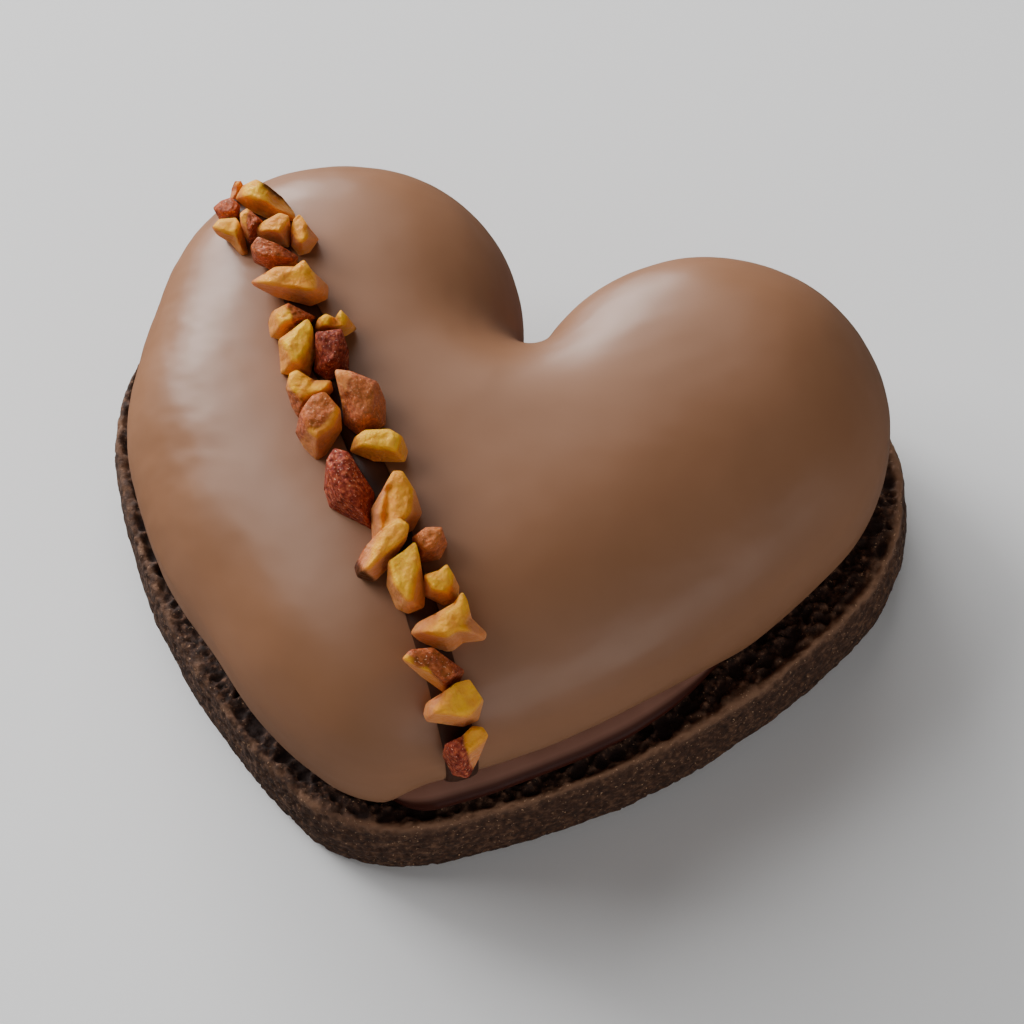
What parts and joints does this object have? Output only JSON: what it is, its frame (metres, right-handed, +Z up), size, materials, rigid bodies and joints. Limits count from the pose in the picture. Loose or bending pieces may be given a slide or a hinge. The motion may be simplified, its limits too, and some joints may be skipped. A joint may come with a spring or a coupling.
{
  "type": "chocolate doughnut",
  "caption": "Heart-shaped filled chocolate doughnut: dark bread slice, chocolate filling and a puffed milk-chocolate top, crossed by a dark chocolate line of chopped almonds.",
  "frame": {"origin": "middle of the object's box, on the surface that it stands on", "axes": "+Z up, +X across the two lobes to the right, +Y from the tip towards the notch"},
  "size_m": [0.0934, 0.0756, 0.0451],
  "materials": {
    "bread": "matt porous dark cocoa crumb with a finer crust",
    "filling": "glossy soft chocolate",
    "milk_chocolate": "satin milk chocolate coating with a darker, glossier line",
    "almond": "roasted almond flesh with a slight gloss",
    "almond_skin": "wrinkled red-brown almond skin"
  },
  "bodies": {
    "root": {"bread_base": "bread", "chocolate_filling": "filling", "coated_top": "milk_chocolate", "almond_01": "almond", "almond_02": "almond", "almond_03": "almond_skin", "almond_04": "almond", "almond_05": "almond_skin", "almond_06": "almond", "almond_07": "almond", "almond_08": "almond_skin", "almond_09": "almond", "almond_10": "almond", "almond_11": "almond", "almond_12": "almond", "almond_13": "almond_skin", "almond_14": "almond", "almond_15": "almond_skin", "almond_16": "almond_skin", "almond_17": "almond", "almond_18": "almond_skin", "almond_19": "almond", "almond_20": "almond", "almond_21": "almond_skin", "almond_22": "almond", "almond_23": "almond", "almond_24": "almond", "almond_25": "almond_skin", "almond_26": "almond", "almond_27": "almond_skin"}
  },
  "joints": []
}
